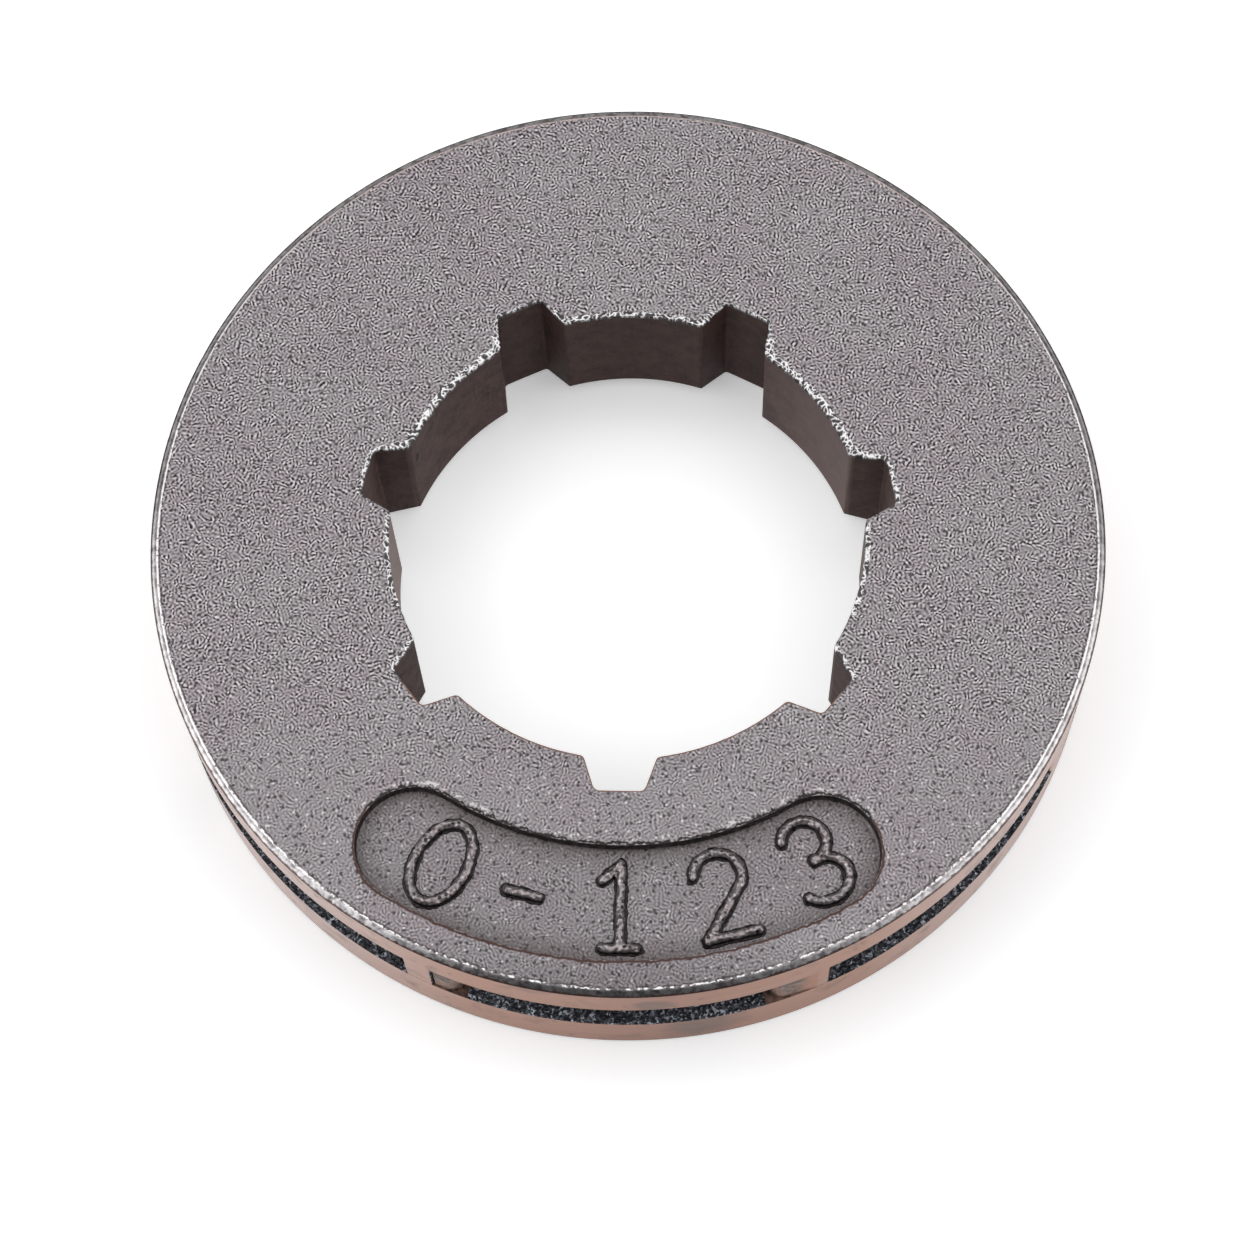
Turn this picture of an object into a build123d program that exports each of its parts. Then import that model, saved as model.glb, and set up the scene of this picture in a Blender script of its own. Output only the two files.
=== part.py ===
from build123d import *
import math
import os

# Chainsaw rim sprocket: one ring whose two rails are joined by eight tooth webs,
# with a seven-slot spline bore. The axis is Z, the foot lies on Z = 0, and the
# marking recess is sunk in the upper face on the -Y side.

# Radii of the rails' outside and of the lands in the bore
outer_r = 22.0
bore_r = 11.0

# Heights, from the foot upwards
lower_rail_h = 3.1
link_slot_h = 2.6
upper_rail_h = 2.4

# Cast edges of the rails: a wide, shallow chamfer
edge_w = 0.3
edge_drop = 0.15

# Spline slots: widths at the bore circle and at the flat floor
spline_count = 7
spline_mouth_w = 3.32
spline_floor_w = 2.24
spline_depth = 1.5
spline_corner_r = 0.18

# Shallow cone round the bore in the underside
lead_in_h = 1.0
lead_in_w = 2.5

# Tooth webs between the rails, and the drive-link pockets between the webs
tooth_count = 8
tooth_tip_w = 2.6
tooth_root_w = 4.6
tooth_set_back = 0.05
tooth_tip_round = 0.3
pocket_root_round = 1.4
hub_wall = 2.5

# Marking recess, an arc-shaped slot set in from the outside
recess_margin = 1.65
recess_w = 5.3
recess_half_angle = 31.0
recess_depth = 0.6
recess_rim_round = 0.12
recess_floor_round = 0.2

# Heights and radii that follow
total_h = lower_rail_h + link_slot_h + upper_rail_h
spline_floor_r = bore_r + spline_depth
pocket_floor_r = spline_floor_r + hub_wall
tooth_tip_r = outer_r - tooth_set_back
recess_mid_r = outer_r - recess_margin - recess_w / 2

# Slot flanks are drawn on into the bore, so that each slot opens cleanly into it
spline_mouth_r = math.sqrt(bore_r**2 - (spline_mouth_w / 2) ** 2)
spline_taper = (spline_mouth_w - spline_floor_w) / (spline_floor_r - spline_mouth_r)
spline_start_r = bore_r - spline_depth
spline_start_w = spline_floor_w + spline_taper * (spline_floor_r - spline_start_r)

# Tooth flanks are drawn on into the hub wall
tooth_taper = (tooth_root_w - tooth_tip_w) / (outer_r - pocket_floor_r)
tooth_start_r = spline_floor_r
tooth_start_w = tooth_tip_w + tooth_taper * (outer_r - tooth_start_r)

with BuildPart() as rim_sprocket:
    # Ring blank with its chamfered rail edges
    with BuildSketch(Plane.XZ):
        with BuildLine():
            Polyline(
                (0, 0),
                (outer_r - edge_w, 0),
                (outer_r, edge_drop),
                (outer_r, total_h - edge_drop),
                (outer_r - edge_w, total_h),
                (0, total_h),
                close=True,
            )
        make_face()
    revolve(axis=Axis.Z)

    # Spline bore, first slot towards -Y
    with BuildSketch() as bore_outline:
        with BuildSketch(mode=Mode.PRIVATE) as spline_slot:
            with BuildLine():
                Polyline(
                    (spline_start_r, -spline_start_w / 2),
                    (spline_floor_r, -spline_floor_w / 2),
                    (spline_floor_r, spline_floor_w / 2),
                    (spline_start_r, spline_start_w / 2),
                    close=True,
                )
            make_face()
        Circle(bore_r)
        with PolarLocations(0, spline_count, start_angle=-90):
            add(spline_slot.sketch)
        fillet(bore_outline.vertices(), spline_corner_r)
    extrude(amount=total_h, mode=Mode.SUBTRACT)

    # Shallow cone that leads the hub in from below
    Cone(
        bottom_radius=bore_r + lead_in_w,
        top_radius=bore_r,
        height=lead_in_h,
        align=(Align.CENTER, Align.CENTER, Align.MIN),
        mode=Mode.SUBTRACT,
    )

    # Drive-link slot: an open ring less the tooth webs, one pocket towards -Y
    with BuildSketch(Plane.XY.offset(lower_rail_h)) as link_slot:
        with BuildSketch(mode=Mode.PRIVATE) as tooth:
            Circle(tooth_tip_r)
            with BuildLine():
                Polyline(
                    (tooth_start_r, -tooth_start_w / 2),
                    (outer_r, -tooth_tip_w / 2),
                    (outer_r, tooth_tip_w / 2),
                    (tooth_start_r, tooth_start_w / 2),
                    close=True,
                )
            make_face(mode=Mode.INTERSECT)
            tip_corners = tooth.vertices().sort_by(Axis.X)[-2:]
            fillet(tip_corners, tooth_tip_round)
        Circle(outer_r + edge_w)
        Circle(pocket_floor_r, mode=Mode.SUBTRACT)
        with PolarLocations(0, tooth_count, start_angle=180 / tooth_count - 90):
            add(tooth.sketch, mode=Mode.SUBTRACT)
        pocket_roots = link_slot.vertices().group_by(SortBy.DISTANCE)[0]
        fillet(pocket_roots, pocket_root_round)
    extrude(amount=link_slot_h, mode=Mode.SUBTRACT)

    # Marking recess: an arc-shaped slot with round ends, softened by the casting
    with BuildLine(mode=Mode.PRIVATE) as recess_path:
        CenterArc((0, 0), recess_mid_r, -90 - recess_half_angle, 2 * recess_half_angle)
    with BuildSketch(Plane.XY.offset(total_h)):
        SlotArc(recess_path.edge(), height=recess_w)
    extrude(amount=-recess_depth, mode=Mode.SUBTRACT)
    recess_rim = rim_sprocket.edges(Select.LAST).group_by(Axis.Z)[-1]
    fillet(recess_rim, recess_rim_round)
    recess_floor = rim_sprocket.faces().filter_by(Axis.Z).group_by(Axis.Z)[-2]
    fillet(recess_floor.edges(), recess_floor_round)

rim_sprocket.part.label = "rim_sprocket"
os.makedirs("parts", exist_ok=True)
export_step(rim_sprocket.part, "parts/rim_sprocket.step")
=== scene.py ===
import math
from contextlib import contextmanager

import bmesh
import bpy
from mathutils import Matrix, Vector, noise


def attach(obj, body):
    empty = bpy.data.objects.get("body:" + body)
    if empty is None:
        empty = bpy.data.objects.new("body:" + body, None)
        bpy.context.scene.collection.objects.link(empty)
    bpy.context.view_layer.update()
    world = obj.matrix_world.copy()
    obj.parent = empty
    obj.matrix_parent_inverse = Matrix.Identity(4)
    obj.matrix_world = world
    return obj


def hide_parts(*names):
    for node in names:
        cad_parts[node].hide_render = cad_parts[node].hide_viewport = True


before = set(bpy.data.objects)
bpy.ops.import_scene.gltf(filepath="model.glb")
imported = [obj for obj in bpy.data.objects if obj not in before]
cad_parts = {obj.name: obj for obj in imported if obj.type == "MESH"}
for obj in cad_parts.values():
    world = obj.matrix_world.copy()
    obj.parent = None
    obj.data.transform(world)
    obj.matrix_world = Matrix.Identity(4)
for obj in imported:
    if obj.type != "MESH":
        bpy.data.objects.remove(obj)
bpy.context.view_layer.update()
scene = bpy.context.scene
mm = 0.001

# Camera, where the photograph was taken from
camera = {
    "aim": (0.135, -4.678, 8.1),  # mm, on the upper face
    "distance": 159.126,
    "azimuth": 4.534,
    "elevation": 69.418,
    "roll": -3.161,
    "lens": 100.22,
}

# Floor and studio light
studio = {
    "floorSize": 3000.0,
    "floorColour": (0.965, 0.972, 0.975, 1.0),
    "floorGlow": 0.33,
    "fadeFrom": 120.0,  # the floor turns white for the camera between these radii, mm
    "fadeTo": 500.0,
    "roomColour": (0.95, 0.96, 1.0, 1.0),
    "roomLevel": 0.15,
    # name, azimuth, elevation, distance, width, height in mm, radiance
    "lamps": [
        ("leftBox", -84.0, 46.0, 520.0, 460.0, 400.0, 2.0),
        ("rightBox", 85.0, 46.0, 520.0, 440.0, 400.0, 1.7),
        ("backBox", 180.0, 62.0, 620.0, 620.0, 420.0, 1.2),
        ("topBox", 0.0, 90.0, 560.0, 460.0, 460.0, 0.85),
    ],
}


# Shared helpers

def direction(azimuth, elevation):
    a = math.radians(azimuth)
    e = math.radians(elevation)
    return Vector((math.sin(a) * math.cos(e), -math.cos(a) * math.cos(e), math.sin(e)))


def finishedObject(bm, name):
    mesh = bpy.data.meshes.new(name)
    bm.to_mesh(mesh)
    bm.free()
    piece = bpy.data.objects.new(name, mesh)
    scene.collection.objects.link(piece)
    return piece


@contextmanager
def editing(piece):
    bm = bmesh.new()
    bm.from_mesh(piece.data)
    yield bm
    bm.to_mesh(piece.data)
    bm.free()


def bakeModifiers(piece):
    graph = bpy.context.evaluated_depsgraph_get()
    mesh = bpy.data.meshes.new_from_object(piece.evaluated_get(graph))
    piece.modifiers.clear()
    old = piece.data
    piece.data = mesh
    bpy.data.meshes.remove(old)


def booleanWith(piece, cutter, operation):
    step = piece.modifiers.new("boolean", "BOOLEAN")
    step.operation = operation
    step.solver = "EXACT"
    step.object = cutter
    bakeModifiers(piece)
    old = cutter.data
    bpy.data.objects.remove(cutter)
    bpy.data.meshes.remove(old)


def setSmooth(piece, sharpAngle, flatWithin):
    # level faces stay flat, so that nothing bends the light on them
    for face in piece.data.polygons:
        level = abs(face.normal.z) > 0.9999
        face.use_smooth = not (level and math.hypot(*face.center.xy) < flatWithin * mm)
    piece.data.set_sharp_from_angle(angle=math.radians(sharpAngle))


def arcPoints(cx, cy, rx, ry, first, last, count):
    made = []
    for i in range(count + 1):
        a = math.radians(first + (last - first) * i / count)
        made.append((cx + rx * math.cos(a), cy + ry * math.sin(a)))
    return made


def feed(tree, socket, value):
    if isinstance(value, bpy.types.NodeSocket):
        tree.links.new(value, socket)
    else:
        socket.default_value = value


def newNode(tree, kind, values, operation=None):
    # inputs are linked or set; None leaves one as it is
    node = tree.nodes.new("ShaderNode" + kind)
    if operation:
        node.operation = operation
    for name, value in values.items():
        if value is not None:
            feed(tree, node.inputs[name], value)
    return node


class Finish:
    def __init__(self, name):
        self.material = bpy.data.materials.new(name)
        self.material.use_nodes = True
        self.tree = self.material.node_tree
        self.tree.nodes.clear()
        self.shader = self.node("BsdfPrincipled", {})
        self.node("OutputMaterial", {"Surface": self.shader.outputs["BSDF"]})
        place = self.node("TexCoord", {})
        self.point = self.vector("SCALE", place.outputs["Object"], scale=1000.0)

    def node(self, kind, values, operation=None):
        return newNode(self.tree, kind, values, operation)

    def put(self, name, value):
        feed(self.tree, self.shader.inputs[name], value)

    def vector(self, operation, a, b=None, c=None, scale=None):
        node = self.node("VectorMath", {0: a, 1: b, 2: c, "Scale": scale}, operation)
        return node.outputs["Value" if operation in ("LENGTH", "DISTANCE") else "Vector"]

    def math(self, operation, a, b=0.0, c=0.0):
        return self.node("Math", {0: a, 1: b, 2: c}, operation).outputs[0]

    def noise(self, scale, detail=2.0, rough=0.5, distortion=0.0, at=None):
        values = {"Vector": at or self.point, "Scale": scale, "Detail": detail}
        values.update({"Roughness": rough, "Distortion": distortion})
        return self.node("TexNoise", values).outputs["Fac"]

    def times(self, a, b):
        return self.math("MULTIPLY", a, b)

    def apart(self, a, b):
        return self.math("ABSOLUTE", self.math("SUBTRACT", a, b))

    def shifted(self, value, by, amount):
        # a value moved by a noise round its middle
        return self.math("MULTIPLY_ADD", self.math("SUBTRACT", by, 0.5), amount, value)

    def ripple(self, look):
        # short wave packets of one wavelength, turned at random and a little bent
        values = {"Vector": self.point, "Scale": look["bendScale"], "Detail": 0.0}
        bend = self.node("TexNoise", values).outputs["Color"]
        moved = self.vector("MULTIPLY_ADD", bend, (look["bend"], look["bend"], 0.0), self.point)
        values = {"Vector": moved, "Scale": look["packets"], "Frequency": look["waves"]}
        node = self.node("TexGabor", {**values, "Anisotropy": 0.0})
        node.gabor_type = "2D"
        return node.outputs["Value"]

    def dots(self, scale, sizes, shares, full=1.0, at=None, flat=False):
        # dots that fade between two sizes, in the cells above two shares
        node = self.node("TexVoronoi", {"Vector": at or self.point, "Scale": scale})
        if flat:
            node.voronoi_dimensions = "2D"
        dots = self.span(node.outputs["Distance"], *sizes, full, 0.0)
        return self.times(dots, self.span(node.outputs["Color"], *shares))

    def span(self, value, low, high, outLow=0.0, outHigh=1.0):
        values = {"Value": value, "From Min": low, "From Max": high, "To Min": outLow, "To Max": outHigh}
        return self.node("MapRange", values).outputs["Result"]

    def line(self, value, level, width):
        return self.span(self.apart(value, level), 0.0, width, 1.0, 0.0)

    def mix(self, factor, a, b, kind="MIX"):
        node = self.node("Mix", {})
        node.data_type = "RGBA"
        node.blend_type = kind
        node.clamp_factor = True
        for place, value in ((0, factor), (6, a), (7, b)):
            feed(self.tree, node.inputs[place], value)
        return node.outputs[2]

    def toned(self, base, tone):
        return self.mix(1.0, base, self.vector("SCALE", (1.0, 1.0, 1.0), scale=tone), "MULTIPLY")

    def bump(self, height, strength, distance):
        values = {"Height": height, "Strength": strength, "Distance": distance * mm}
        self.put("Normal", self.node("Bump", values).outputs["Normal"])

    def attribute(self, name):
        node = self.node("Attribute", {})
        node.attribute_name = name
        return node.outputs["Fac"]

    def dress(self, base, look, roughness=None):
        self.put("Base Color", base)
        self.put("Metallic", look["metal"])
        self.put("Roughness", roughness or look["roughness"])
        return self.material

    def stretched(self, factors):
        return self.vector("MULTIPLY", self.point, factors)

    def radius(self):
        return self.vector("LENGTH", self.stretched((1.0, 1.0, 0.0)))

    def axis(self, name):
        return self.node("SeparateXYZ", {0: self.point}).outputs[name]


def colour(red, green, blue):
    return (red, green, blue, 1.0)


# Finishes, each with its own values
castLook = {
    "colour": colour(0.286, 0.251, 0.266),
    "cool": colour(0.274, 0.252, 0.262),
    "bright": colour(0.78, 0.75, 0.76),
    "dark": colour(0.035, 0.028, 0.031),
    "metal": 0.3,
    "roughness": 0.5,
    "packets": 2.6,  # wave packets per mm and waves in each
    "waves": 2.2,
    "grain": 0.9,
    "frontGrain": 0.55,  # the grain's share in front
    "bumpHeight": 0.025,
    "bumpStrength": 0.6,
    "specks": 0.7,
}
# What the cast face and the figures share: scales are per mm
grainLook = {
    "bend": 0.2,
    "bendScale": 2.4,
    "cloudScale": 0.2,
    "swellScale": 2.6,
    "pitScale": 2.3,
    "speckScale": 1.5,
    "speckPlace": (13.0, 5.0, 2.0),
    "frontReach": (-13.0, -7.0),  # the calmer front fades out between these, mm along Y
    "backSpecks": 0.4,
}
recessLook = {
    "radius": 17.7,  # middle of the recess, half its angle and half its width
    "angle": 31.0,
    "half": 2.65,
    "floorTone": 0.84,
    "shade": colour(0.075, 0.055, 0.052),
    "shadeWidth": 1.3,
    # the dark lines along the recess edge are painted shade: near-black on the inner edge, brown on the
    # outer
    "line": colour(0.014, 0.010, 0.010),
    "outerRimShade": colour(0.065, 0.028, 0.022),
    "fleck": colour(0.72, 0.69, 0.69),
    "fleckPlace": 0.26,  # outside the recess edge, mm
    "frontTone": 0.7,  # the face darkens towards the front, between these along Y
    "frontReach": (-19.0, -21.3),
}
edgeLook = {
    "line": 21.67,  # radius of the painted highlight line where the face ends, mm
    "secondHighlight": 21.87,
    "lineWidth": 0.06,
    "insideSeam": 0.1,  # how far the seams lie inside and outside the line
    "outsideSeam": 0.09,
    "seam": colour(0.03, 0.02, 0.02),
    # colours of the painted highlight line: bright at the sides and front, paler at the back
    "bright": colour(0.97, 0.95, 0.95),
    "farHighlight": colour(0.55, 0.44, 0.41),
    "brown": colour(0.075, 0.045, 0.036),
    "brownFrom": (21.91, 21.95),
}


def castGrain(finish, look):
    # short ripples of the blasted skin, calmer in front, with pits and bright specks
    shared = grainLook
    along = finish.axis("Y")
    near, far = shared["frontReach"]
    clouds = finish.noise(shared["cloudScale"], 2.0, 0.6)
    ripple = finish.span(finish.ripple({**shared, **look}), 0.34, 0.66, -1.0, 1.0)
    swell = finish.span(finish.noise(shared["swellScale"], 2.0, 0.7), 0.3, 0.7, 0.35, 1.65)
    calm = finish.span(along, near, far, look["frontGrain"] * look["grain"], look["grain"])
    grain = finish.times(finish.times(ripple, swell), calm)
    tone = finish.math("ADD", grain, finish.span(clouds, 0.3, 0.7, 0.93, 1.07))
    tint = finish.mix(finish.span(clouds, 0.42, 0.58), look["colour"], look["cool"])
    base = finish.toned(tint, tone)
    pits = finish.dots(shared["pitScale"], (0.12, 0.21), (0.46, 0.54), flat=True)
    base = finish.mix(finish.times(pits, 0.85), base, look["dark"])
    at = finish.vector("ADD", finish.point, shared["speckPlace"])
    flecks = finish.dots(shared["speckScale"], (0.055, 0.11), (0.44, 0.5), at=at, flat=True)
    flecks = finish.times(flecks, finish.span(along, near, far, 1.0, shared["backSpecks"]))
    flecks = finish.math("MAXIMUM", flecks, finish.span(grain, 0.8, 1.15, 0.0, 0.7))
    base = finish.mix(finish.times(flecks, look["specks"]), base, look["bright"])
    return base, finish.math("SUBTRACT", finish.noise(6.0, 0.0), pits)


def recessShadeAndFlecks(finish, base, look):
    # painted shade: the recess floor is darker towards its walls, with a dark ragged line of painted
    # shade along its edge
    a = math.radians(look["angle"])
    half = look["half"]
    radius = finish.radius()
    across = finish.math("ABSOLUTE", finish.axis("X"))
    along = finish.axis("Y")
    join = finish.node("CombineXYZ", {"X": across, "Y": along})
    endCentre = (look["radius"] * math.sin(a), -look["radius"] * math.cos(a), 0.0)
    toEnd = finish.vector("DISTANCE", join.outputs[0], endCentre)
    toArc = finish.apart(radius, look["radius"])
    beyond = finish.math("MULTIPLY_ADD", across, math.cos(a), finish.times(along, math.sin(a)))
    atEnd = finish.math("GREATER_THAN", beyond, 0.0)
    away = finish.math("MULTIPLY_ADD", atEnd, finish.math("SUBTRACT", toEnd, toArc), toArc)
    inner = finish.math("LESS_THAN", radius, look["radius"])
    tear = finish.noise(2.8, 2.0, 0.6)
    wobble = finish.math("MULTIPLY_ADD", inner, 0.3, 0.25)
    ragged = finish.shifted(away, tear, wobble)
    inFloor = finish.span(away, half - 0.05, half, 1.0, 0.0)
    front = finish.span(along, *look["frontReach"], 1.0, look["frontTone"])
    level = finish.span(inFloor, 0.0, 1.0, 1.0, look["floorTone"])
    base = finish.toned(base, finish.times(level, front))
    shade = finish.span(away, half - look["shadeWidth"], half - 0.1, 0.0, 0.6)
    base = finish.mix(finish.times(shade, inFloor), base, look["shade"])
    beside = finish.span(finish.apart(away, half + look["fleckPlace"]), 0.05, 0.13, 1.0, 0.0)
    fleck = finish.times(finish.times(beside, inner), finish.span(tear, 0.56, 0.62, 0.0, 0.85))
    base = finish.mix(fleck, base, look["fleck"])
    # the dark ragged line along the edge is painted shade
    line = finish.span(finish.apart(ragged, half + 0.06), 0.04, 0.085, 1.0, 0.0)
    return finish.mix(line, base, finish.mix(inner, look["outerRimShade"], look["line"]))


def edgeHighlightAndSeams(finish, base, look):
    # painted highlight: the bright line where the flat face ends, whole at the sides, broken at the
    # front and back
    along = finish.axis("Y")
    width = look["lineWidth"]
    breaks = finish.noise(5.0, 1.0, 0.6)
    wobble = finish.span(along, -19.0, -12.0, 0.231, 0.066)
    middle = finish.shifted(finish.radius(), breaks, wobble)
    # painted highlight: a bright line, broken by noise at the front and back
    line = finish.line(middle, look["line"], width)
    level = finish.span(along, -20.0, -10.0, 0.5, 0.34)
    keep = finish.span(finish.math("SUBTRACT", breaks, level), 0.0, 0.04)
    line = finish.times(finish.span(line, 0.1, 0.6), keep)
    bright = finish.mix(finish.span(along, 6.0, 18.0), look["bright"], look["farHighlight"])
    inside = finish.line(middle, look["line"] - look["insideSeam"], width)
    torn = finish.span(finish.noise(1.9, 1.0, 0.6), 0.43, 0.46)
    near = finish.span(along, 10.0, 2.0, 0.0, 0.9)
    base = finish.mix(finish.times(finish.times(inside, torn), near), base, look["seam"])
    base = finish.mix(line, base, bright)
    side = finish.span(finish.math("ABSOLUTE", along), 12.0, 19.0, 0.5, 0.0)
    # a second painted highlight line at the sides
    second = finish.times(finish.line(middle, look["secondHighlight"], width), side)
    base = finish.mix(second, base, look["bright"])
    seam = finish.line(middle, look["line"] + look["outsideSeam"], width)
    base = finish.mix(finish.times(seam, side), base, look["brown"])
    outer = finish.span(middle, *look["brownFrom"], 0.0, 0.9)
    return finish.mix(outer, base, look["brown"])


def castFinish(name, look):
    finish = Finish(name)
    base, height = castGrain(finish, look)
    base = recessShadeAndFlecks(finish, base, recessLook)
    base = edgeHighlightAndSeams(finish, base, edgeLook)
    finish.bump(height, look["bumpStrength"], look["bumpHeight"])
    return finish.dress(base, look)


pocketLook = {
    "colour": colour(0.026, 0.027, 0.034),
    "bright": colour(0.66, 0.68, 0.76),
    "dashScale": 6.0,
    "dashStretch": (1.0, 1.0, 0.4),
    "metal": 0.4,
    "roughness": 0.42,
}


def pocketFinish(name, look):
    # rough casting between the rails, with bright upright dashes
    finish = Finish(name)
    dashes = finish.noise(look["dashScale"], 1.0, 0.6, 0.5, finish.stretched(look["dashStretch"]))
    twists = finish.span(dashes, 0.56, 0.64)
    grain = finish.noise(6.0, 1.0, 0.6)
    base = finish.mix(finish.span(grain, 0.48, 0.72, 0.0, 0.25), look["colour"], look["bright"])
    base = finish.mix(twists, base, look["bright"])
    finish.bump(finish.math("ADD", grain, twists), 0.8, 0.1)
    return finish.dress(base, look)


groundLook = {
    "colour": colour(0.375, 0.180, 0.115),
    "deep": colour(0.290, 0.122, 0.070),
    "stain": colour(0.100, 0.042, 0.026),
    "pale": colour(0.52, 0.34, 0.26),
    # colour of the painted sheen on the sides
    "side": colour(0.62, 0.49, 0.46),
    "leftSheen": (-6.5, -15.0, 0.85),  # where the painted sheen on the sides begins and ends along X, and how pale
    "rightSheen": (11.0, 17.0, 0.65),
    "deepAt": 2.5,
    "deepReach": (1.5, 8.0),
    "metal": 0.7,
    "roughness": 0.4,
    # middle and reach of the dark stains, mm
    "stains": [((3.9, -21.6, 2.0), 2.2), ((1.7, -21.9, 6.4), 1.0), ((-19.5, -10.2, 2.0), 1.8)],
}


def groundFinish(name, look):
    finish = Finish(name)
    streaks = finish.noise(1.0, 2.0, 0.6, 0.0, finish.stretched((0.12, 0.12, 9.0)))
    blotches = finish.noise(0.7, 3.0, 0.6, 0.6)
    across = finish.axis("X")
    leftFrom, leftTo, leftPale = look["leftSheen"]
    rightFrom, rightTo, rightPale = look["rightSheen"]
    left = finish.span(across, leftFrom, leftTo, 0.0, leftPale)
    right = finish.span(across, rightFrom, rightTo, 0.0, rightPale)
    middle = finish.span(finish.apart(across, look["deepAt"]), *look["deepReach"], 1.0, 0.0)
    base = finish.mix(middle, look["colour"], look["deep"])
    # painted sheen: the rails are paler towards the left and right sides
    base = finish.mix(finish.math("ADD", left, right), base, look["side"])
    base = finish.mix(finish.span(blotches, 0.54, 0.72, 0.0, 0.5), base, look["stain"])
    for centre, reach in look["stains"]:
        away = finish.vector("DISTANCE", finish.point, centre)
        ragged = finish.math("MULTIPLY_ADD", blotches, reach * 1.5, away)
        stain = finish.span(ragged, reach * 1.3, reach * 1.8, 0.8, 0.0)
        base = finish.mix(stain, base, look["stain"])
    specks = finish.dots(0.7, (0.07, 0.12), (0.5, 0.55), 0.7)
    base = finish.mix(specks, base, look["stain"])
    base = finish.mix(finish.span(streaks, 0.5, 0.8, 0.0, 0.35), base, look["pale"])
    finish.bump(streaks, 0.25, 0.02)
    rough = look["roughness"]
    return finish.dress(base, look, finish.span(streaks, 0.3, 0.7, rough - 0.06, rough + 0.08))


boreLook = {
    "colour": colour(0.098, 0.055, 0.047),
    "dark": colour(0.042, 0.022, 0.019),
    "pale": colour(0.17, 0.112, 0.096),
    "paintedLight": colour(0.34, 0.26, 0.24),
    "leftLight": (-10.2, -10.9, 0.75),  # where the painted light on the lands begins and ends along X, and how far
    "rightLight": (4.5, 8.5, 0.32),
    "lightWithin": (11.1, 11.25),  # radii between which the painted light ends
    "rearShade": (9.0, 10.5, 0.3),  # where the painted shade at the back begins and ends along Y
    "hole": colour(0.008, 0.005, 0.005),
    "pit": (-10.05, 4.47, 6.00),  # casting pit in one land, mm
    "pitStretch": (1.0, 1.0, 0.4),
    "metal": 0.0,
    "roughness": 0.6,
    "specular": 0.12,
}


def boreFinish(name, look):
    finish = Finish(name)
    runs = finish.noise(1.0, 3.0, 0.6, 0.0, finish.stretched((5.0, 5.0, 0.35)))
    blotches = finish.noise(1.1, 4.0, 0.6, 0.3)
    grain = finish.noise(6.0, 2.0, 0.6)
    base = finish.mix(finish.span(blotches, 0.35, 0.7), look["colour"], look["dark"])
    base = finish.mix(finish.span(grain, 0.5, 0.75, 0.0, 0.4), base, look["pale"])
    base = finish.mix(finish.span(runs, 0.55, 0.8, 0.0, 0.3), base, look["pale"])
    land = finish.span(finish.radius(), *look["lightWithin"], 1.0, 0.0)
    across = finish.axis("X")
    # painted light and sheen on the lands at the left and right
    litShares = []
    for first, last, share in (look["leftLight"], look["rightLight"]):
        litShares.append(finish.span(across, first, last, 0.0, share))
    base = finish.mix(finish.times(finish.math("ADD", *litShares), land), base, look["paintedLight"])
    # painted shade: the back of the bore is darker
    first, last, share = look["rearShade"]
    base = finish.mix(finish.span(finish.axis("Y"), first, last, 0.0, share), base, look["dark"])
    fromPit = finish.vector("SUBTRACT", finish.point, look["pit"])
    pit = finish.vector("LENGTH", finish.vector("MULTIPLY", fromPit, look["pitStretch"]))
    base = finish.mix(finish.span(pit, 0.13, 0.2, 0.9, 0.0), base, look["hole"])
    finish.put("Specular IOR Level", look["specular"])
    finish.bump(finish.math("ADD", grain, runs), 0.35, 0.03)
    return finish.dress(base, look)


chamferLook = {
    "bright": colour(0.55, 0.525, 0.535),
    "dark": colour(0.19, 0.17, 0.175),
    "metal": 0.65,
    "roughness": 0.27,
    # painted dark reflection: the chamfer is darker towards the front
    "frontTone": 0.3,
    "frontReach": (-21.6, -19.0),  # mm along Y
}


def chamferFinish(name, look):
    finish = Finish(name)
    blotches = finish.noise(1.4, 2.0, 0.6, 0.4)
    grain = finish.noise(3.2, 1.0, 0.6, 0.3)
    base = finish.mix(finish.span(grain, 0.33, 0.6), look["dark"], look["bright"])
    base = finish.mix(finish.span(blotches, 0.58, 0.7, 0.0, 0.4), base, look["dark"])
    # painted dark reflection towards the front
    tone = finish.span(finish.axis("Y"), *look["frontReach"], look["frontTone"], 1.0)
    base = edgeHighlightAndSeams(finish, finish.toned(base, tone), edgeLook)
    finish.bump(grain, 0.25, 0.02)
    return finish.dress(base, look)


# near-black walls of the recess and its rim bevels: painted shade
wallLook = {
    "colour": colour(0.022, 0.016, 0.016),
    "pale": colour(0.10, 0.08, 0.08),
    "metal": 0.3,
    "roughness": 0.6,
}


def wallFinish(name, look):
    finish = Finish(name)
    grain = finish.noise(4.0, 3.0, 0.6)
    base = finish.mix(finish.span(grain, 0.45, 0.75), look["colour"], look["pale"])
    finish.bump(grain, 0.5, 0.04)
    return finish.dress(base, look)


rawToothLook = {
    "colour": colour(0.25, 0.150, 0.112),
    "dark": colour(0.05, 0.030, 0.025),
    "pale": colour(0.40, 0.27, 0.22),
    "shadeFrom": (5.05, 5.35),  # heights where the rail's shade begins and ends
    "shadeTo": 6.0,
    "groundFrom": (8.9, 9.5),  # the ground colour takes over between these along X
    "metal": 0.6,
    "roughness": 0.5,
}


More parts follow.
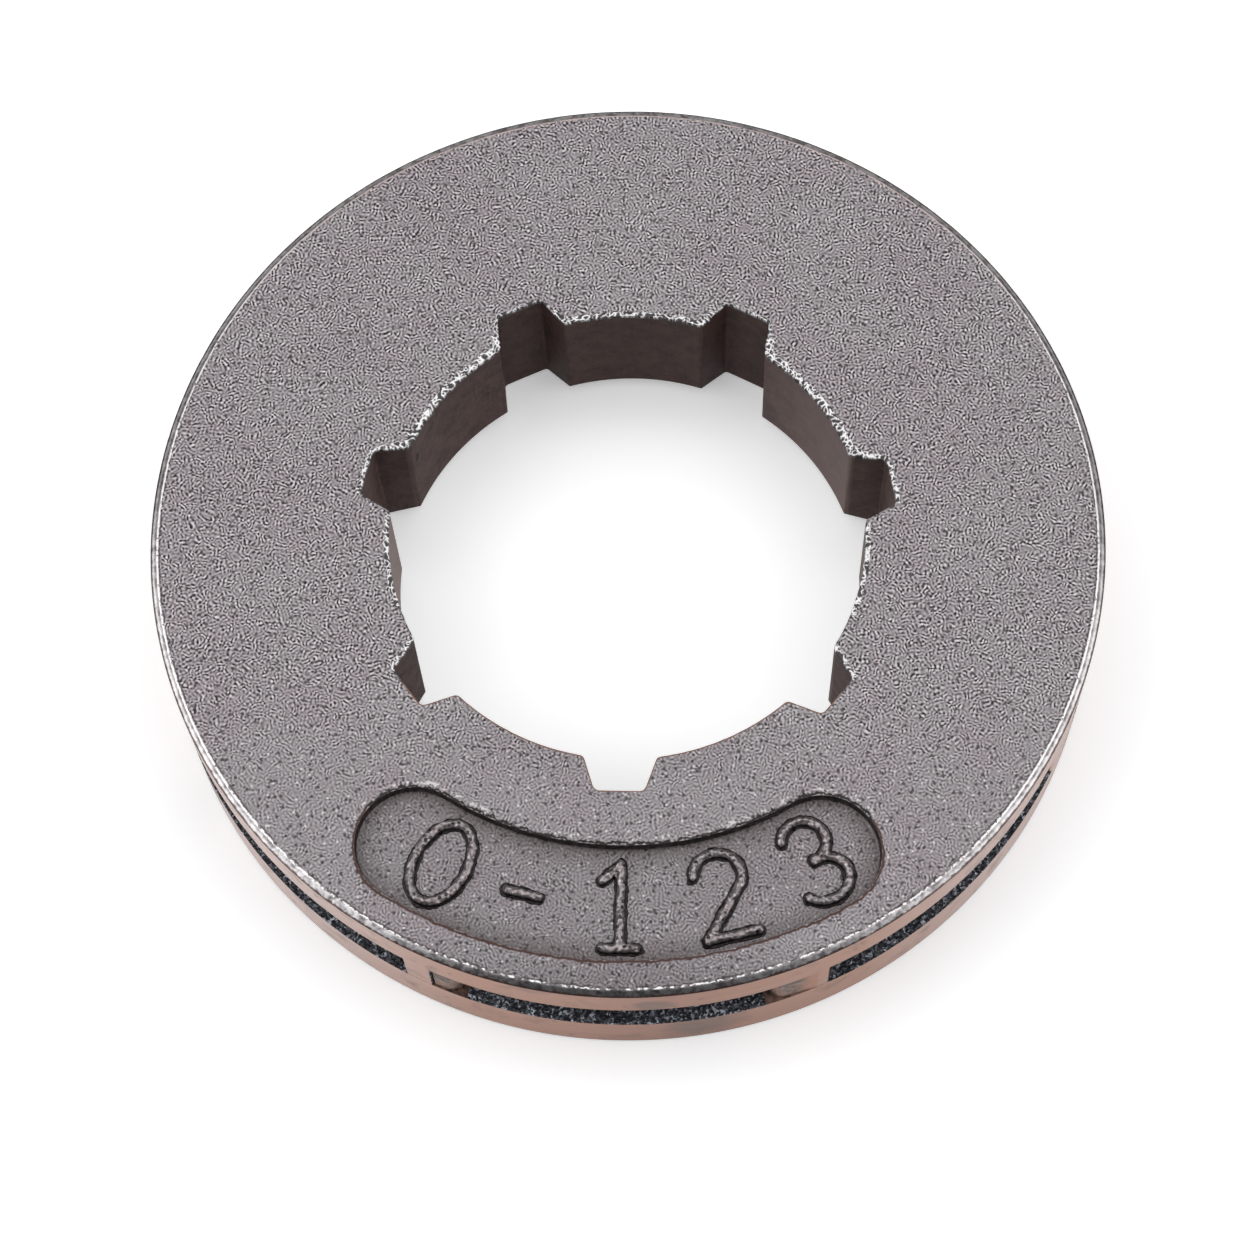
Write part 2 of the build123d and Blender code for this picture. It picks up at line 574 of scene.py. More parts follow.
def rawToothFinish(name, look):
    finish = Finish(name)
    blotches = finish.noise(1.6, 4.0, 0.6, 0.6)
    grain = finish.noise(5.0, 2.0, 0.6)
    base = finish.mix(finish.span(blotches, 0.4, 0.65), look["colour"], look["dark"])
    base = finish.mix(finish.span(grain, 0.5, 0.75, 0.0, 0.6), base, look["pale"])
    up = finish.axis("Z")
    height = finish.math("MULTIPLY_ADD", blotches, 0.6, up)
    under = finish.span(height, *look["shadeFrom"], 0.0, 0.9)
    below = finish.math("LESS_THAN", up, look["shadeTo"])
    base = finish.mix(finish.times(under, below), base, look["dark"])
    reach = finish.math("MULTIPLY_ADD", blotches, 1.4, finish.axis("X"))
    base = finish.mix(finish.span(reach, *look["groundFrom"]), base, groundLook["colour"])
    finish.bump(finish.math("ADD", blotches, grain), 0.5, 0.06)
    return finish.dress(base, look)


crestLook = {
    "low": colour(0.030, 0.025, 0.028),
    "mid": colour(0.27, 0.25, 0.26),
    "high": colour(0.97, 0.96, 0.96),
    "front": colour(0.20, 0.095, 0.060),
    "frontReach": (-7.4, -8.0),  # mm along Y
    "metal": 0.1,
    "roughness": 0.35,
}


def crestFinish(name, look):
    # for torn metal: the crest attribute is 0 in the valleys and 1 on the ridges; the valleys are
    # painted shade, the ridges painted highlight
    finish = Finish(name)
    value = finish.attribute("crest")
    # painted shade in the valleys, painted highlight on the ridges
    base = finish.mix(finish.span(value, 0.0, 0.2), look["low"], look["mid"])
    base = finish.mix(finish.span(value, 0.25, 0.6), base, look["high"])
    base = finish.mix(finish.span(finish.axis("Y"), *look["frontReach"]), base, look["front"])
    finish.bump(finish.noise(7.0, 2.0), 0.3, 0.02)
    return finish.dress(base, look)


figureLook = {
    "colour": colour(0.262, 0.228, 0.232),
    "cool": colour(0.230, 0.205, 0.210),
    "bright": colour(0.80, 0.77, 0.77),
    "dark": colour(0.016, 0.012, 0.013),
    "metal": 0.7,
    "roughness": 0.3,
    "packets": 2.2,
    "waves": 1.9,
    "grain": 0.5,
    "frontGrain": 0.8,
    "bumpHeight": 0.07,
    "bumpStrength": 0.6,
    "specks": 0.3,
}


def figureFinish(name, look):
    # painted shade: the attribute read here is 1 on the strokes' flanks and feet, which are painted dark
    finish = Finish(name)
    base, height = castGrain(finish, look)
    base = finish.mix(finish.attribute("figureShade"), base, look["dark"])
    finish.bump(height, look["bumpStrength"], look["bumpHeight"])
    return finish.dress(base, look)


finishes = {
    "castFace": castFinish("castFace", castLook),
    "chamfer": chamferFinish("castChamfer", chamferLook),
    "ground": groundFinish("groundRail", groundLook),
    "pocket": pocketFinish("pocketCasting", pocketLook),
    "bore": boreFinish("broachedBore", boreLook),
    "wall": wallFinish("recessWallShade", wallLook),
    "rawTooth": rawToothFinish("unground", rawToothLook),
    "crest": crestFinish("tornMetalPaintedLight", crestLook),
    "figure": figureFinish("raisedFigure", figureLook),
}
print("finishes made")


# The ring itself, mm
ring = {
    "top": 8.05,  # the torn edge stands up to the full height
    "outerRadius": 22.0,
    "blankRadius": 10.4,
    "coneRadius": 13.5,
    "coneSlope": 2.5,
    "chamferWidth": 0.32,
    "chamferDrop": 0.16,
    "slotLow": 3.1,
    "slotHigh": 5.7,
    "steps": 960,
    "boreRadius": 11.0,
    "splines": 7,
    "mouthWidth": 3.32,
    "floorWidth": 2.24,
    "splineRadius": 12.5,
    "floorRound": 0.13,
    "mouthRound": 0.34,
    "teeth": 8,
    "toothRadius": 21.995,
    "tipWidth": 2.6,
    "rootWidth": 4.6,
    "hubRadius": 15.0,
    "tipRound": 0.3,
    "rootBevel": 1.4 * 0.6,
    "recessRadius": 17.7,
    "recessWidth": 5.3,
    "recessAngle": 31.0,
    "recessFloor": 7.5,
    "recessRim": 0.1,
    "recessRoot": 0.2,
    "boreEdge": 0.07,
    "weld": 0.0005,  # points nearer than this are one
    "wave": (1.3, 0.025),  # waves of the cast edge: scale per mm and height
    "smallWave": (3.6, 0.02),
    "dent": (2.1, 0.42, 0.28),  # dents of the cast edge: scale, threshold and depth
}


def spinProfile(points, steps):
    bm = bmesh.new()
    verts = [bm.verts.new((r * mm, 0.0, z * mm)) for r, z in points]
    edges = [bm.edges.new(pair) for pair in zip(verts, verts[1:] + verts[:1])]
    bmesh.ops.spin(
        bm, geom=verts + edges, cent=(0, 0, 0), axis=(0, 0, 1), angle=math.tau,
        steps=steps, use_merge=True,
    )
    bmesh.ops.recalc_face_normals(bm, faces=bm.faces)
    return bm


def prism(corners, low, high):
    # corners in mm, in order; a straight block between two heights
    bm = bmesh.new()
    verts = [bm.verts.new((x * mm, y * mm, low * mm)) for x, y in corners]
    face = bm.faces.new(verts)
    grown = bmesh.ops.extrude_face_region(bm, geom=[face])
    bmesh.ops.translate(
        bm, verts=[g for g in grown["geom"] if isinstance(g, bmesh.types.BMVert)],
        vec=(0, 0, (high - low) * mm),
    )
    bmesh.ops.recalc_face_normals(bm, faces=bm.faces)
    return bm


def disc(radius, low, high, segments):
    bm = bmesh.new()
    bmesh.ops.create_cone(
        bm, cap_ends=True, segments=segments, radius1=radius * mm, radius2=radius * mm,
        depth=(high - low) * mm, matrix=Matrix.Translation((0.0, 0.0, (low + high) / 2 * mm)),
    )
    return bm


def turnCopies(bm, count):
    # the shape and its copies, evenly round the axis
    bmesh.ops.spin(
        bm, geom=bm.verts[:] + bm.edges[:] + bm.faces[:], cent=(0, 0, 0), axis=(0, 0, 1),
        angle=math.radians(360.0 / count) * (count - 1), steps=count - 1, use_duplicate=True,
    )
    bmesh.ops.recalc_face_normals(bm, faces=bm.faces)


def uprightEdges(bm, reach):
    # upright edges sharper than 20 degrees, within a reach of radii
    found = []
    for edge in bm.edges:
        a, b = (v.co for v in edge.verts)
        if abs(a.z - b.z) < 0.5 * edge.calc_length() or len(edge.link_faces) != 2:
            continue
        if edge.calc_face_angle(0.0) > math.radians(20.0) and reach(math.hypot(a.x, a.y) / mm):
            found.append(edge)
    return found


def bevelEdges(bm, edges, offset, segments):
    bmesh.ops.bevel(
        bm, geom=edges, offset=offset * mm, offset_type="OFFSET", segments=segments,
        profile=0.5, affect="EDGES", material=-1, clamp_overlap=True,
    )


def splineCutter():
    r = ring
    mouthRadius = math.sqrt(r["boreRadius"] ** 2 - (r["mouthWidth"] / 2) ** 2)
    taper = (r["mouthWidth"] - r["floorWidth"]) / (r["splineRadius"] - mouthRadius)
    inner = r["boreRadius"] - 1.5
    innerWidth = r["floorWidth"] + taper * (r["splineRadius"] - inner)
    outline = [
        (-innerWidth / 2, -inner),
        (-r["floorWidth"] / 2, -r["splineRadius"]),
        (r["floorWidth"] / 2, -r["splineRadius"]),
        (innerWidth / 2, -inner),
    ]
    slots = prism(outline, -1.0, 9.0)
    turnCopies(slots, r["splines"])
    cutter = finishedObject(disc(r["boreRadius"], -1.0, 9.0, 420), "boreCutter")
    booleanWith(cutter, finishedObject(slots, "slotCutter"), "UNION")
    between = (r["boreRadius"] + r["splineRadius"]) / 2
    with editing(cutter) as bm:
        bmesh.ops.remove_doubles(bm, verts=bm.verts, dist=r["weld"] * mm)
        bevelEdges(bm, uprightEdges(bm, lambda radius: radius > between), r["floorRound"], 4)
        bevelEdges(bm, uprightEdges(bm, lambda radius: radius < between), r["mouthRound"], 5)
    return cutter


def trackCutter():
    r = ring
    taper = (r["rootWidth"] - r["tipWidth"]) / (r["outerRadius"] - r["hubRadius"])
    inner = r["hubRadius"] - 1.0
    outer = r["outerRadius"] + 1.0
    innerWidth = r["tipWidth"] + taper * (r["outerRadius"] - inner)
    outerWidth = r["tipWidth"] - taper * (outer - r["outerRadius"])
    outline = [
        (-innerWidth / 2, -inner),
        (-outerWidth / 2, -outer),
        (outerWidth / 2, -outer),
        (innerWidth / 2, -inner),
    ]
    low, high = r["slotLow"], r["slotHigh"]
    teeth = prism(outline, low - 1.0, high + 1.0)
    halfPitch = Matrix.Rotation(math.pi / r["teeth"], 3, "Z")
    bmesh.ops.rotate(teeth, verts=teeth.verts, cent=(0, 0, 0), matrix=halfPitch)
    turnCopies(teeth, r["teeth"])
    tips = finishedObject(disc(r["toothRadius"], low - 2.0, high + 2.0, 480), "tipCutter")
    booleanWith(tips, finishedObject(teeth, "toothCutter"), "INTERSECT")
    with editing(tips) as bm:
        bmesh.ops.remove_doubles(bm, verts=bm.verts, dist=r["weld"] * mm)
        corners = uprightEdges(bm, lambda radius: radius > r["toothRadius"] - 0.5)
        bevelEdges(bm, corners, r["tipRound"], 4)
    profile = [(r["hubRadius"], low), (outer, low), (outer, high), (r["hubRadius"], high)]
    cutter = finishedObject(spinProfile(profile, 480), "trackCutter")
    booleanWith(cutter, tips, "DIFFERENCE")
    with editing(cutter) as bm:
        bmesh.ops.remove_doubles(bm, verts=bm.verts, dist=r["weld"] * mm)
        roots = uprightEdges(bm, lambda radius: radius < r["hubRadius"] + 0.5)
        bevelEdges(bm, roots, r["rootBevel"], 5)
    return cutter


def recessCutter():
    r = ring
    half = r["recessWidth"] / 2
    low, high = r["recessFloor"], r["top"] + 1.0
    middle, reach = r["recessRadius"], r["recessAngle"]
    a = math.radians(reach)
    ends = [(side * middle * math.sin(a), -middle * math.cos(a)) for side in (1, -1)]
    inner, outer = middle - half, middle + half
    outline = arcPoints(0, 0, outer, outer, -90 - reach, -90 + reach, 170)
    outline += arcPoints(*ends[0], half, half, -90 + reach, 90 + reach, 70)[1:]
    outline += arcPoints(0, 0, inner, inner, -90 + reach, -90 - reach, 150)[1:]
    outline += arcPoints(*ends[1], half, half, 90 - reach, 270 - reach, 70)[1:-1]
    bm = prism(outline, low, high)
    floorEdges = [e for e in bm.edges if max(v.co.z for v in e.verts) < (low + 0.01) * mm]
    bevelEdges(bm, floorEdges, r["recessRoot"], 4)
    return finishedObject(bm, "recessCutter")


# Two teeth in front are only half ground: their cast halves lie back a little.
# Each has the depth at a few angles
rawHalves = [
    [(-22.4, 0.3), (-22.05, 0.09), (-20.2, 0.09), (-19.6, 0.16), (-19.0, 0.34), (-18.3, 0.75)],
    [
        (18.3, 0.8), (19.0, 0.36), (19.6, 0.17), (20.2, 0.1), (22.0, 0.07), (23.6, 0.03),
        (24.6, -0.01),
    ],
]
rawHeights = (3.12, 5.66)


def rawCutter(profile):
    def at(angle, radius):
        a = math.radians(angle)
        return (radius * math.sin(a), -radius * math.cos(a))

    outer = ring["outerRadius"] + 0.6
    corners = [at(angle, ring["toothRadius"] - depth) for angle, depth in profile]
    first, last = profile[0][0], profile[-1][0]
    corners += [at(last, outer), at((first + last) / 2, outer), at(first, outer)]
    return finishedObject(prism(corners, *rawHeights), "rawCutter")


def ringBlank():
    r = ring
    top, outer = r["top"], r["outerRadius"]
    face = outer - r["chamferWidth"]
    shelf = top - r["chamferDrop"]
    drop = r["chamferDrop"]
    cone = (r["coneRadius"] - r["blankRadius"]) / r["coneSlope"]
    points = [(r["blankRadius"], cone), (r["coneRadius"], 0.0)]
    points += [(face - 0.4, 0.0), (face, 0.0), (outer - 0.1, drop * 0.62), (outer, drop)]
    points += [(outer, z) for z in (0.3, 1.5, 2.8, 3.02, 5.78, 6.0, 7.0, shelf - 0.25)]
    points += [(outer, shelf), (outer - 0.06, shelf + 0.035), (outer - 0.14, shelf + 0.075)]
    points += [(outer - 0.22, shelf + 0.112), (face, top), (face - 0.07, top), (face - 0.16, top)]
    points += [(face - 0.3, top), (r["blankRadius"], top)]
    return spinProfile(points, r["steps"])


def roughenEdge(bm):
    # small waves and dents of the cast edge; only the outermost rings of points move
    r = ring
    waveScale, waveHeight = r["wave"]
    smallScale, smallHeight = r["smallWave"]
    dentScale, dentFrom, dentDepth = r["dent"]
    shelf = r["top"] - r["chamferDrop"]
    for v in bm.verts:
        radius = math.hypot(v.co.x, v.co.y) / mm
        height = v.co.z / mm
        if radius < r["outerRadius"] - 0.42 or height < shelf - 0.05:
            continue
        angle = math.atan2(v.co.x, -v.co.y)
        around = Vector((math.sin(angle), -math.cos(angle), 0.0)) * 22.0
        wave = noise.noise(around * waveScale) * waveHeight
        wave += noise.noise(around * smallScale) * smallHeight
        dent = max(0.0, noise.noise(around * dentScale + Vector((5, 3, 9))) - dentFrom) * dentDepth
        if height > r["top"] - 0.01:
            rise, out = -abs(wave) * 0.35 - dent * 0.35, wave * 0.6
        elif height < shelf + 0.005:
            rise, out = wave * 0.5 - dent * 0.25, 0.0
        else:
            rise, out = wave * 0.5 - dent * 0.3, -dent * 0.3
        v.co.z += rise * mm
        v.co.xy *= 1.0 + out / radius


def loopEdges(bm, height, inside):
    found = []
    for edge in bm.edges:
        a, b = (v.co for v in edge.verts)
        if abs(a.z / mm - height) > 0.003 or abs(b.z / mm - height) > 0.003:
            continue
        if len(edge.link_faces) != 2 or edge.calc_face_angle(0.0) < math.radians(40):
            continue
        middle = (a + b) / 2
        if inside(math.hypot(middle.x, middle.y) / mm):
            found.append(edge)
    return found


ringSlots = ["castFace", "chamfer", "ground", "pocket", "bore", "wall", "rawTooth"]


def placeFinishes(piece):
    for name in ringSlots:
        piece.data.materials.append(finishes[name])
    r = ring
    for face in piece.data.polygons:
        c = face.center / mm
        radius = math.hypot(c.x, c.y)
        angle = math.degrees(math.atan2(c.x, -c.y))
        up = face.normal.z
        radial = (face.normal.x * c.x + face.normal.y * c.y) / max(radius, 1e-6)
        slot = "castFace"
        inTrack = r["slotLow"] - 0.02 <= c.z <= r["slotHigh"] + 0.02
        raw = any(profile[0][0] < angle < profile[-1][0] for profile in rawHalves)
        onTooth = r["toothRadius"] - 0.9 < radius < r["toothRadius"] - 0.01
        if c.z > 7.35 and radius > 21.69 and 0.3 < up < 0.985:
            slot = "chamfer"
        elif raw and inTrack and max(radial, up) > 0.3 and onTooth:
            slot = "rawTooth"
        elif radius > 21.85 and abs(up) < 0.3 and radial > 0.8:
            slot = "ground"
        elif inTrack and radius > r["hubRadius"] - 0.6:
            slot = "pocket"
            if radial > 0.5 and radius > r["toothRadius"] - 0.9:
                slot = "ground"
        elif c.z > r["top"] - 0.1 and radius < r["splineRadius"] + 0.12 and 0.2 < up < 0.99:
            slot = "rawTooth"
        elif radius < r["splineRadius"] + 0.05 and abs(up) < 0.75 and c.z > 0.02 and up > -0.5:
            slot = "bore"
        # the recess walls and the steep faces of its rim take the near-black wall finish, painted shade
        elif c.z > r["recessFloor"] - 0.05 and 14.8 < radius < 20.6 and up < 0.6:
            slot = "wall"
        elif c.z < 0.2 and radius > 21.69 and up > -0.98:
            slot = "chamfer"
        face.material_index = ringSlots.index(slot)


def makeRing():
    bm = ringBlank()
    roughenEdge(bm)
    body = finishedObject(bm, "ringBody")
    for cutter in (splineCutter(), trackCutter(), recessCutter()):
        booleanWith(body, cutter, "DIFFERENCE")
    for profile in rawHalves:
        booleanWith(body, rawCutter(profile), "DIFFERENCE")
    with editing(body) as bm:
        bmesh.ops.remove_doubles(bm, verts=bm.verts, dist=0.001 * mm)
        bmesh.ops.dissolve_degenerate(bm, edges=bm.edges, dist=0.001 * mm)
        recessRim = loopEdges(bm, ring["top"], lambda radius: 14.5 < radius < 21.0)
        bevelEdges(bm, recessRim, ring["recessRim"], 3)
        boreEdge = loopEdges(bm, ring["top"], lambda radius: radius < 13.0)
        bevelEdges(bm, boreEdge, ring["boreEdge"], 2)
    placeFinishes(body)
    setSmooth(body, 28.0, 21.3)
    soft = body.modifiers.new("weightedNormals", "WEIGHTED_NORMAL")
    soft.keep_sharp = True
    return body


ringBody = makeRing()
print("ring made:", len(ringBody.data.polygons), "faces")


# Torn metal along the bore's upper edge
burr = {
    "step": 0.045,  # along the edge, mm
    "rows": 12,
    "wide": 0.52,
    "height": 0.05,
    "overhang": 0.05,
    "soften": 5,  # neighbours on each side that round the outline
    "ridges": [(3.4, 0.17, 0.0), (4.2, 0.13, 11.0)],  # scale per mm, width and shift
    "seed": 3.0,
    "thin": 0.16,
}


def boreOutline(step):
    r = ring
    points = []
    halfMouth = math.asin(r["mouthWidth"] / 2 / r["boreRadius"])
    pitch = math.tau / r["splines"]
    mouthRadius = r["boreRadius"] * math.cos(halfMouth)
    for k in range(r["splines"]):
        centre = k * pitch
        side = Vector((math.cos(centre), math.sin(centre), 0))
        out = Vector((math.sin(centre), -math.cos(centre), 0))
        slot = [
            out * mouthRadius - side * r["mouthWidth"] / 2,
            out * r["splineRadius"] - side * r["floorWidth"] / 2,
            out * r["splineRadius"] + side * r["floorWidth"] / 2,
            out * mouthRadius + side * r["mouthWidth"] / 2,
        ]
        for a, b in zip(slot, slot[1:]):
            count = max(2, round((b - a).length / step))
            points += [a.lerp(b, i / count) for i in range(count)]
        first, last = centre + halfMouth, centre + pitch - halfMouth
        count = max(2, round((last - first) * r["boreRadius"] / step))
        for i in range(count):
            a = first + (last - first) * i / count
            points.append(Vector((math.sin(a), -math.cos(a), 0)) * r["boreRadius"])
    return points


def wormRidge(point, scale, width, seed):
    value = abs(noise.noise(Vector((point.x * scale + seed, point.y * scale, seed * 0.37))))
    return max(0.0, 1.0 - value / width)


def tornStrip(name, points, look, base, widthAt):
    # a fine grid, bent along the edge and raised into twisted ridges
    count, seed, soft = len(points), look["seed"], look["soften"]
    near = [[points[(i + k) % count] for k in range(-soft, soft + 1)] for i in range(count)]
    points = [sum(some, Vector()) / len(some) for some in near]
    outward = []
    for i in range(count):
        along = points[(i + 3) % count] - points[i - 3]
        outward.append(Vector((along.y, -along.x, 0)).normalized())
    bm = bmesh.new()
    crest = bm.verts.layers.float.new("crest")
    bmesh.ops.create_grid(bm, x_segments=count, y_segments=look["rows"], size=1.0)
    for v in bm.verts:
        i = round((v.co.x + 1) / 2 * count) % count
        share = (v.co.y + 1) / 2
        p, away = points[i], outward[i]
        width = widthAt(p, away)
        jag = 0.78 + 0.35 * noise.noise(Vector((p.x * 3.1, p.y * 3.1, seed)))
        hang = look["overhang"] * (0.6 + 1.2 * noise.noise(Vector((p.x * 4.0, p.y * 4.0, seed + 5.0))))
        place = p + away * (share * look["wide"] * width * jag - hang * width)
        ridge = max(wormRidge(place, scale, wide, seed + shift) for scale, wide, shift in look["ridges"])
        rise = min(1.0, math.sin(math.pi * min(1.0, share * 0.9 + 0.1)) * width * 1.6)
        z = base + look["height"] * (0.25 + 0.75 * ridge) * rise
        if share > 0.999:
            z = base - 0.02
        if share < 0.001:
            z = base - 0.16
        v.co = Vector((place.x, place.y, z)) * mm
        v[crest] = ridge * min(1.0, width * 1.5) if share > 0.001 else 0.0
        if share > 0.92:
            v[crest] = max(v[crest], 0.4)
    bmesh.ops.remove_doubles(bm, verts=bm.verts, dist=0.0005 * mm)
    bm.normal_update()
    if sum(f.normal.z * f.calc_area() for f in bm.faces) < 0:
        bmesh.ops.reverse_faces(bm, faces=bm.faces)
    return finishedObject(bm, name)


def burrWidth(point, outward):
    # widest on the two lands behind, thin at the sides and slot floors, a mere line in front
    angle = abs(math.degrees(math.atan2(point.x, -point.y)))
    full = min(1.0, max(0.0, (angle - 48.0) / 8.0))
    if angle > 155:
        full *= 0.62 + 0.5 * noise.noise(point * 0.9)
    if point.length > 11.8:
        full *= 0.35 if angle > 110 else 0.5
    elif angle < 108:
        full *= 0.55
    if outward.y < -0.35:
        full *= 0.2
    return burr["thin"] + (1.0 - burr["thin"]) * full


boreBurr = tornStrip("boreBurr", boreOutline(burr["step"]), burr, ring["top"], burrWidth)
boreBurr.data.materials.append(finishes["crest"])
for polygon in boreBurr.data.polygons:
    polygon.use_smooth = True
print("burr made:", len(boreBurr.data.polygons), "faces")


# Raised figures in the recess: plain numbers
figures = {
    "stroke": 0.225,  # half the stroke's width, mm
    "rise": 0.15,  # stroke's middle above the recess floor
    "foot": 0.315,  # half the width of the dark foot round each stroke, a flat sheet of painted shade
    "footRise": 0.1,  # the foot's height as a share of its width
    "radius": 17.75,
    "lumps": [(2.2, 0.06), (5.0, 0.045)],  # scale per mm and height
    "footRag": (3.1, 0.09),
    "places": [("0", -26.3), ("-", -13.6), ("1", 0.3), ("2", 15.4), ("3", 29.6)],
    "voxel": 0.055,
}


def figurePath(sign):
    # strokes in a box of 2.4 by 4.3 round the middle, and whether each is closed
    if sign == "0":
        return [(arcPoints(0, 0, 1.2, 1.95, 0, 350, 35), True)]
    if sign == "-":
        return [([(-0.75, 0), (0.75, 0)], False)]
    if sign == "1":
        top = (0.1, 1.95)
        strokes = [(-0.75, 1.15), top], [top, (0.1, -1.95)], [(-0.7, -1.95), (0.9, -1.95)]
        return [(stroke, False) for stroke in strokes]
    if sign == "2":
        bow = arcPoints(0, 0.9, 1.1, 1.05, 170, -30, 20)
        return [(bow + [(-1.15, -1.95)], False), ([(-1.15, -1.95), (1.2, -1.95)], False)]
    upper = arcPoints(0, 0.95, 1.0, 1.0, 155, -90, 20)
    lower = arcPoints(0, -0.98, 1.15, 1.0, 90, -155, 22)
    return [(upper, False), (lower, False)]


def densePath(points, closed, step=0.15):
    made = []
    for a, b in zip(points, points[1:] + (points[:1] if closed else [])):
        count = max(1, round(math.dist(a, b) / step))
        for i in range(count):
            made.append(tuple(p + (q - p) * i / count for p, q in zip(a, b)))
    return made if closed else made + [points[-1]]


def strokeMesh(points, closed, half, place):
    # one stroke as a round bar along its path, with round ends
    curve = bpy.data.curves.new("stroke", "CURVE")
    curve.dimensions = "3D"
    curve.bevel_depth = half * mm
    curve.bevel_resolution = 5
    curve.use_fill_caps = True
    path = curve.splines.new("POLY")
    points = densePath(points, closed)
    path.points.add(len(points) - 1)
    for target, (x, y) in zip(path.points, points):
        target.co = (x * mm, y * mm, 0, 1)
    path.use_cyclic_u = closed
    holder = bpy.data.objects.new("stroke", curve)
    scene.collection.objects.link(holder)
    graph = bpy.context.evaluated_depsgraph_get()
    mesh = bpy.data.meshes.new_from_object(holder.evaluated_get(graph))
    bm = bmesh.new()
    bm.from_mesh(mesh)
    if not closed:
        for x, y in (points[0], points[-1]):
            bmesh.ops.create_uvsphere(
                bm, u_segments=16, v_segments=10, radius=half * mm,
                matrix=Matrix.Translation((x * mm, y * mm, 0)),
            )
    bmesh.ops.transform(bm, matrix=place, verts=bm.verts)
    bm.to_mesh(mesh)
    bm.free()
    bpy.data.objects.remove(holder)
    bpy.data.curves.remove(curve)
    return mesh


def joined(half, squash, rise):
    made = bmesh.new()
    floor = ring["recessFloor"]
    for sign, angle in figures["places"]:
        turn = Matrix.Rotation(math.radians(angle), 4, "Z")
        shift = Matrix.Translation((0, -figures["radius"] * mm, (floor + rise) * mm))
        flat = Matrix.Diagonal((1.0, 1.0, squash, 1.0))
        for points, closed in figurePath(sign):
            mesh = strokeMesh(points, closed, half, turn @ shift @ flat)
            made.from_mesh(mesh)
            bpy.data.meshes.remove(mesh)
    return made


def makeFigures():
    piece = finishedObject(joined(figures["stroke"], 1.0, figures["rise"]), "raisedFigures")
    remesh = piece.modifiers.new("remesh", "REMESH")
    remesh.mode = "VOXEL"
    remesh.voxel_size = figures["voxel"] * mm
    bakeModifiers(piece)
    with editing(piece) as bm:
        for i in range(3):
            bmesh.ops.smooth_vert(
                bm, verts=bm.verts, factor=0.5, use_axis_x=True, use_axis_y=True, use_axis_z=True,
            )
        bm.normal_update()
        figureShade = bm.verts.layers.float.new("figureShade")
        for v in bm.verts:
            p = v.co / mm
            lump = sum(noise.noise(p * scale) * height for scale, height in figures["lumps"])
            if v.normal.z > -0.2:
                v.co += v.normal * lump * mm
            # painted shade on the steep flanks
            v[figureShade] = min(1.0, max(0.0, (0.6 - v.normal.z) / 0.25))
        # the feet: flat dark sheets of painted shade round the strokes
        feet = joined(figures["foot"], figures["footRise"], 0.0)
        foot = feet.verts.layers.float.new("figureShade")
        ragScale, ragged = figures["footRag"]
        for v in feet.verts:
            v[foot] = 1.0
            p = v.co / mm
            v.co.x += noise.noise(p * ragScale + Vector((7, 1, 0))) * ragged * mm
            v.co.y += noise.noise(p * ragScale + Vector((2, 9, 0))) * ragged * mm
        mesh = bpy.data.meshes.new("feet")
        feet.to_mesh(mesh)
        feet.free()
        bm.from_mesh(mesh)
        bpy.data.meshes.remove(mesh)
    for face in piece.data.polygons:
        face.use_smooth = True
    piece.data.materials.append(finishes["figure"])
    return piece


raisedFigures = makeFigures()
print("figures made:", len(raisedFigures.data.polygons), "faces")

for piece in (ringBody, boreBurr, raisedFigures):
    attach(piece, "root")
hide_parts("rim_sprocket")


